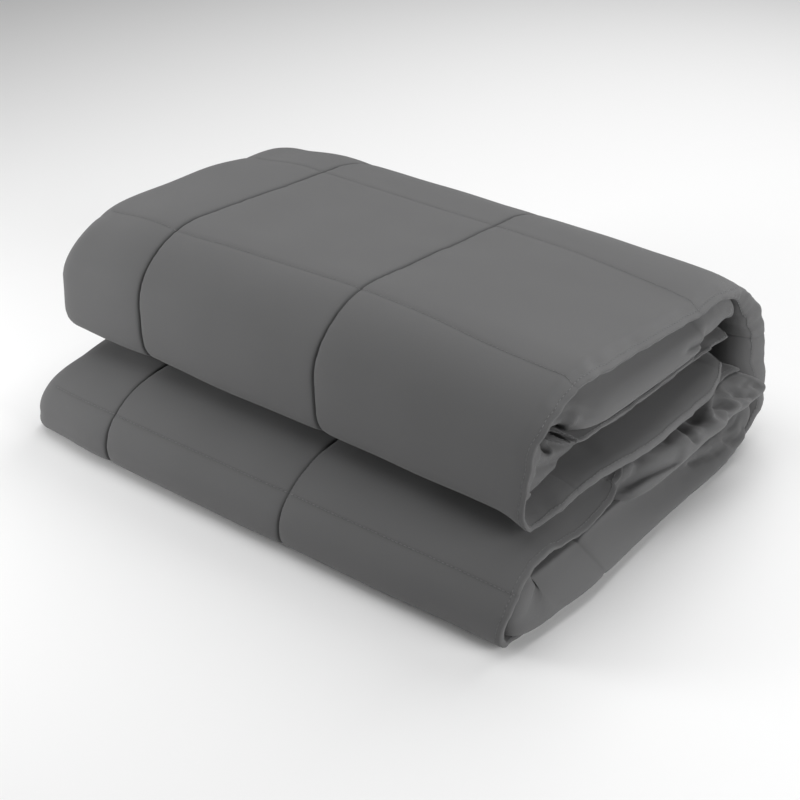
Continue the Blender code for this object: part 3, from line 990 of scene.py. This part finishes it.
def tube_mesh(name: str, points: np.ndarray) -> bpy.types.Mesh:
    """A mesh of tubes with closed ends.

    Args:
        name: the mesh's name.
        points: vertices in metres, by tube, ring and place round the ring.

    Returns:
        The mesh.
    """
    count, rings, sides = points.shape[:3]
    index = np.arange(count * rings * sides).reshape(count, rings, sides)
    here, there = index[:, :-1], index[:, 1:]
    quads = np.stack([here, np.roll(here, -1, axis=2), np.roll(there, -1, axis=2), there],
                     axis=-1).reshape(-1, 4)
    caps = np.concatenate([index[:, 0, ::-1], index[:, -1]])
    return surface_mesh(name, points.reshape(-1, 3), [quads, caps])


def put(name: str, data: bpy.types.ID) -> bpy.types.Object:
    """A new object in the scene, at the origin.

    Args:
        name: its name.
        data: its mesh, light or camera.

    Returns:
        The object.
    """
    piece = bpy.data.objects.new(name, data)
    bpy.context.scene.collection.objects.link(piece)
    return piece


def placed(mesh: bpy.types.Mesh, material: bpy.types.Material) -> bpy.types.Object:
    """An object for the mesh with one material."""
    mesh.materials.append(material)
    return put(mesh.name, mesh)


@dataclass(frozen=True)
class ClothGrid:
    """The finished cloth: points in metres by station and column."""

    points: np.ndarray
    normals: np.ndarray
    length: np.ndarray      # each station's distance along the outer line
    columns: Columns
    seam: np.ndarray        # how near each point is to the bottom of a seam, which darkens it: seam line plus painted shade

    def column(self, stretch: int, cloth_x: float) -> int:
        """The column of one stretch of the outline that is nearest to a place."""
        gap = np.abs(self.columns.cloth_x - cloth_x)
        return int(np.argmin(np.where(self.columns.stretch == stretch, gap, np.inf)))

    def line(self, rows: int | slice, columns: Any) -> tuple[np.ndarray, np.ndarray]:
        """Points and normals along one row or one column."""
        return self.points[rows, columns], self.normals[rows, columns]

    def row(self, length: float) -> int:
        """The station that is nearest to a distance along the outer line."""
        return int(np.argmin(np.abs(self.length - length)))


@dataclass
class Blanket:
    """The blanket: its cloth as one closed surface."""

    strip: QuiltedStrip
    finish: CottonFinish
    rumpled: tuple[Rumpled, ...] = RUMPLED
    press_tilt: float = 38.0        # creases are pressed in to -X and this far down, in degrees
    crumple: Unevenness = Unevenness(seed=17, longest=0.26, shortest=0.07)
    crease_fade: float = 0.040
    crease_from: float = -0.30      # where the creases start to act in X, and over what length
    crease_taper: float = 0.20
    swell: Unevenness = Unevenness(seed=5, longest=0.90, shortest=0.30)
    swell_m: float = 0.0006
    crimp: Unevenness = Unevenness(seed=8, longest=0.12, shortest=0.035)
    crimp_m: float = 0.00030
    hem_wave: Unevenness = Unevenness(seed=3, longest=0.40, shortest=0.05)
    hem_wave_share: float = 0.005
    hem_wave_apart: float = 3.0     # how far apart in the field the two hems are read
    calm_reach: float = 0.15        # how far from the hems the swell is calmed
    calm_share: float = 0.6
    crimp_reach: float = 0.030      # how far from a seam the crimp goes
    crimp_across: float = 0.5       # how much slower it changes across the cloth
    dark_reach: float = 0.008       # width of the darker line in a seam along the strip: seam line plus painted shade in its groove
    cross_dark: float = 0.5         # strength and width of that darker line across it, also partly painted shade
    cross_dark_reach: float = 0.006
    name: str = "blanket_cloth"

    def edge_at(self, place: np.ndarray, length: np.ndarray) -> Edge:
        """The strip's ends at every station, with the hems' small waves.

        Args:
            place: the place of each station.
            length: its distance along the outer line.

        Returns:
            An Edge whose fields are columns of values.
        """
        names = [field.name for field in fields(Edge)]
        table = np.array([[getattr(edge, name) for name in names] for edge in EDGES])
        columns = eased(place, table[:, 0], table[:, 1:])
        values = dict(zip(names[1:], columns.T[:, :, None]))
        wave = self.hem_wave_share * self.hem_wave.at(length, 0.0 * length)
        other = self.hem_wave_share * self.hem_wave.at(length, 0.0 * length + self.hem_wave_apart)
        values["outer_hem"] = values["outer_hem"] + wave[:, None]
        values["inner_hem"] = values["inner_hem"] + other[:, None]
        return Edge(place=place, **values)

    def grid(self, corner: Vector) -> ClothGrid:
        """Works out the whole surface.

        A point is outer · (1 - share) + inner · share at its station, with X beside it. It is
        then set back at the hem end, lifted by the unevenness towards the outer line, pressed in
        by the creases, and lowered with the underside kept on the floor.

        Args:
            corner: the lowest corner of the CAD solid's box.

        Returns:
            The grid.
        """
        strip = self.strip
        length, place, lines = strip.path.table()
        station = strip.stations(length, place)
        at = np.interp(station, length, place)
        columns = strip.columns()
        slid = station[:, None] + strip.skew(station[:, None], columns.cloth_x)
        sides = np.stack([np.interp(slid, length, line) for line in lines.T], axis=-1)
        outer, inner = sides[..., :2], sides[..., 2:]
        cross = strip.cross_gaps(station, columns.ply)
        edge = self.edge_at(at, station)
        x, share = strip.flat_section(columns, edge, cross)
        share = strip.settled(x, share, columns.ply[None, :], edge)
        spot = (outer + (inner - outer) * share[..., None]) * CELL
        points = np.concatenate([x[..., None] * CELL, spot], axis=2)
        points[..., 1] += edge.back * (1.0 + x / strip.width()) * CELL
        way = unit(outer - inner)
        points[..., 1:] += way * self.lift(station, columns)[..., None]
        deep = self.pressed(points / CELL, at[:, None], columns)
        points -= deep[..., None] * self.press() * CELL
        points[..., 2] = np.maximum(points[..., 2] - strip.pressed_m, 0.0)
        points[..., :2] += self.shift(corner)
        # How far each point is darkened at a seam: the seam's own line plus painted shade in the
        # groove.
        gap = nearest(columns.cloth_x, strip.along_seams)
        seam = np.maximum(near(gap, self.dark_reach)[None, :],
                          self.cross_dark * near(cross, self.cross_dark_reach))
        return ClothGrid(points, self.facing(points), station, columns, seam)

    def shift(self, corner: Vector) -> np.ndarray:
        """Where the hem line and the front line of the tables lie in the frame, in metres."""
        foremost = min(bend.outer.y - bend.outer.reach for bend in self.strip.path.bends())
        return np.array([corner.x + self.strip.width() * CELL, corner.y - foremost * CELL])

    def lift(self, station: np.ndarray, columns: Columns) -> np.ndarray:
        """How far each point is lifted towards the outer line.

        It is the wide swell, calmed at the hems, plus the fine crimp near the seams along the
        strip. Each is its field times its height.

        Args:
            station: each station's distance along the outer line.
            columns: the grid's columns.

        Returns:
            The lifts in metres.
        """
        along, across = station[:, None], columns.cloth_x[None, :]
        free = 1.0 - near(across, self.calm_reach) * self.calm_share
        seams = sum(near(across - seam, self.crimp_reach) for seam in self.strip.along_seams)
        return (self.swell_m * self.swell.at(along, across) * free
                + self.crimp_m * self.crimp.at(along, across * self.crimp_across) * seams)

    def press(self) -> np.ndarray:
        """The way out of the hem end against which the creases are pressed."""
        tilt = math.radians(self.press_tilt)
        return np.array([math.cos(tilt), 0.0, math.sin(tilt)])

    def pressed(self, spots: np.ndarray, place: np.ndarray, columns: Columns) -> np.ndarray:
        """How deep the creases press each point, fading away from the hem end.

        Args:
            spots: the points, in squares.
            place: the place of each station.
            columns: the grid's columns.

        Returns:
            The depths.
        """
        way = self.press()
        up = spots[..., 2] * way[0] - spots[..., 0] * way[2]
        deep = sum(part.depth(place, spots[..., 1], up, self.crease_fade, self.crumple)
                   * np.where(self.strip.hemmed(columns), part.hems, 1.0)
                   for part in self.rumpled)
        return deep * smooth((spots[..., 0] - self.crease_from) / self.crease_taper)

    @staticmethod
    def facing(points: np.ndarray) -> np.ndarray:
        """Outward normals: the cross product of the steps round and along the grid.

        Args:
            points: the grid's points.

        Returns:
            The normals, of length 1.
        """
        down = np.gradient(points, axis=0)
        wrapped = np.concatenate([points[:, -1:], points, points[:, :1]], axis=1)
        round_it = (wrapped[:, 2:] - wrapped[:, :-2]) / 2.0
        return unit(np.cross(round_it, down))

    def build(self, grid: ClothGrid) -> bpy.types.Object:
        """Puts the grid into a mesh with its cloth map and seam attribute.

        Args:
            grid: the finished cloth.

        Returns:
            The blanket's object.
        """
        mesh = tube_mesh(self.name, grid.points[None])
        # The seam attribute carries the darkening at the seams, which is partly painted shade.
        mesh.attributes.new("seam", "FLOAT", "POINT").data.foreach_set(
            "value", grid.seam.astype(np.float32).ravel())
        self.map_cloth(mesh, grid)
        return placed(mesh, self.finish.material())

    def map_cloth(self, mesh: bpy.types.Mesh, grid: ClothGrid) -> None:
        """Adds the UV map named cloth: metres round the section and along the strip.

        Args:
            mesh: the blanket's mesh.
            grid: the finished cloth.
        """
        middle = grid.points[len(grid.points) // 2]
        around = lengths_along(np.concatenate([middle, middle[:1]]))
        flat = np.stack(np.meshgrid(around, grid.length * CELL), axis=-1)
        sheet = np.stack([flat[:-1, :-1], flat[:-1, 1:], flat[1:, 1:], flat[1:, :-1]], axis=2)
        caps = np.zeros((2 * len(middle), 2))
        uv = np.concatenate([sheet.reshape(-1, 2), caps]).astype(np.float32)
        mesh.uv_layers.new(name="cloth").data.foreach_set("uv", uv.ravel())


@dataclass
class Stitching:
    """Rows of short stitches that lie on lines of the cloth, joined into one mesh."""

    name: str
    finish: ThreadFinish
    stitch_m: float = 0.0030
    gap_m: float = 0.0009
    thick_m: float = 0.00042
    rise_m: float = 0.00012
    end_share: float = 0.45         # radius at a stitch's ends over that in its middle
    sides: int = 6

    def spots(self, line: np.ndarray, normal: np.ndarray) -> tuple[np.ndarray, ...]:
        """Where the stitches lie along one line, evenly spaced.

        Args:
            line: the line's points.
            normal: its normals.

        Returns:
            Middle, way and normal of each stitch.
        """
        travelled = lengths_along(line)
        count = int(travelled[-1] / (self.stitch_m + self.gap_m))
        at = (np.arange(count) + 0.5) * travelled[-1] / max(count, 1)

        def read(values: np.ndarray, where: np.ndarray) -> np.ndarray:
            """The values at distances along the line."""
            return np.stack([np.interp(where, travelled, column) for column in values.T], axis=1)

        half = self.stitch_m / 2
        way = unit(read(line, at + half) - read(line, at - half))
        return read(line, at), way, unit(read(normal, at))

    def build(self, lines: list[tuple[np.ndarray, np.ndarray]]) -> bpy.types.Object:
        """Makes every stitch of every line.

        A stitch is a ring of points carried along its way at -1, 0 and 1 half lengths, of
        radius thick · (end share, 1, end share), with its ends sunk and its middle raised.

        Args:
            lines: points and normals of each line that is sewn.

        Returns:
            The stitches' object.
        """
        middle, way, up = [np.concatenate(rows)
                           for rows in zip(*[self.spots(*line) for line in lines])]
        beside = unit(np.cross(way, up))
        turn = np.linspace(0.0, 2.0 * np.pi, self.sides, endpoint=False)
        along = np.array([-0.5, 0.0, 0.5]) * self.stitch_m
        wide = np.array([self.end_share, 1.0, self.end_share]) * self.thick_m
        bow = self.rise_m * np.array([-1.0, 1.0, -1.0])
        ring = (np.cos(turn)[:, None] * up[:, None, None, :]
                + np.sin(turn)[:, None] * beside[:, None, None, :])
        points = (middle[:, None, None, :] + way[:, None, None, :] * along[:, None, None]
                  + up[:, None, None, :] * bow[:, None, None] + ring * wide[:, None, None])
        return placed(tube_mesh(self.name, points), self.finish.material())


@dataclass(frozen=True)
class Lamp:
    """One square soft light."""

    name: str
    place: tuple[float, float, float]
    size: float
    watts: float


@dataclass(frozen=True)
class Studio:
    """The floor, the lights and the camera."""

    azimuth: float = 38.705         # the photograph's angle, in degrees
    elevation: float = 30.499
    eye: tuple[float, float, float] = (2.456, -3.534, 3.615)    # from the hem and front lines
    focal_pixels: float = 1495.75   # of a frame 800 pixels wide
    frame_pixels: int = 800
    sensor_mm: float = 36.0
    floor_m: float = 12.0
    floor_gap_m: float = 0.0002
    sky: float = 0.05
    lamps: tuple[Lamp, ...] = (
        Lamp("overhead", (-0.25, -0.20, 1.80), 1.6, 17.0),
        Lamp("overhead_back", (-0.10, 1.20, 1.50), 1.2, 20.0),
        Lamp("left_front", (-0.80, -0.70, 0.35), 0.4, 6.0),
        Lamp("right", (1.60, 0.00, 0.60), 1.0, 17.5),
    )

    def camera(self, shift: np.ndarray) -> bpy.types.Object:
        """The camera at the photograph's place.

        Args:
            shift: where the hem line and the front line lie in the frame.

        Returns:
            The camera, which is also the scene's.
        """
        turn, rise = math.radians(self.azimuth), math.radians(self.elevation)
        back = Vector((math.sin(turn) * math.cos(rise), -math.cos(turn) * math.cos(rise),
                       math.sin(rise)))
        data = bpy.data.cameras.new("photo_camera")
        data.sensor_width = self.sensor_mm
        data.lens = self.sensor_mm * self.focal_pixels / self.frame_pixels
        eye = put("photo_camera", data)
        eye.rotation_euler = back.to_track_quat("Z", "Y").to_euler()
        eye.location = Vector(self.eye) * CELL + Vector((*shift, 0.0))
        bpy.context.scene.camera = eye
        return eye

    def floor(self) -> bpy.types.Object:
        """The floor, a plain square just under the blanket.

        Returns:
            The floor, which is no part of the blanket.
        """
        reach, under = self.floor_m / 2, -self.floor_gap_m
        points = np.array([[-reach, -reach, under], [reach, -reach, under],
                           [reach, reach, under], [-reach, reach, under]])
        mesh = surface_mesh("studio_floor", points, [np.arange(4)[None, :]])
        floor = placed(mesh, FloorFinish().material())
        return floor

    def lights(self) -> None:
        """A dim even surround and the soft square lamps, each turned to the origin."""
        world = bpy.data.worlds.new("studio")
        world.use_nodes = True
        surround = world.node_tree.nodes["Background"].inputs
        surround["Color"].default_value = (1.0, 1.0, 1.0, 1.0)
        surround["Strength"].default_value = self.sky
        bpy.context.scene.world = world
        bpy.context.scene.view_settings.view_transform = "Standard"
        for lamp in self.lamps:
            data = bpy.data.lights.new(lamp.name, "AREA")
            data.energy, data.size = lamp.watts, lamp.size
            piece = put(lamp.name, data)
            piece.location = lamp.place
            piece.rotation_euler = Vector(lamp.place).to_track_quat("Z", "Y").to_euler()
            piece.visible_camera = False


# ---- The whole scene ----


def main() -> None:
    """Builds the blanket, its stitching and the studio, and reports each piece."""
    logging.basicConfig(level=logging.INFO, format="%(message)s")
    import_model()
    corner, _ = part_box("blanket")
    thread = ThreadFinish()
    blanket = Blanket(QuiltedStrip(), CottonFinish())
    grid = blanket.grid(corner)
    cloth = blanket.build(grid)
    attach(cloth, "root")
    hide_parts("blanket")
    LOG.info("%s: %d faces", cloth.name, len(cloth.data.polygons))

    seams, hems = sewn_lines(grid, blanket.strip)
    stitches = [Stitching("seam_stitches", thread).build(seams),
                Stitching("hem_stitches", thread).build(hems)]
    for piece in stitches:
        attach(piece, "root")
        LOG.info("%s: %d faces", piece.name, len(piece.data.polygons))

    studio = Studio()
    studio.floor()
    studio.lights()
    studio.camera(blanket.shift(corner))


def sewn_lines(grid: ClothGrid, strip: QuiltedStrip) -> tuple[list, list]:
    """The lines that are sewn: seams on the outer face, and the topstitching of the hems.

    Args:
        grid: the finished cloth.
        strip: the strip, for where its seams are.

    Returns:
        Points and normals of each seam, and of each hem's stitching.
    """
    outside, every = np.flatnonzero(grid.columns.stretch == 0), slice(None)
    seams = [grid.line(grid.row(seam), outside) for seam in strip.cross_seams]
    seams += [grid.line(every, grid.column(0, seam)) for seam in strip.along_seams]
    hems = [grid.line(every, grid.column(index, strip.hem_seam))
            for index, piece in enumerate(OUTLINE)
            if piece.kind is Kind.FACE and piece.ply in (0, strip.plies - 1)]
    return seams, hems


if __name__ == "__main__":
    main()
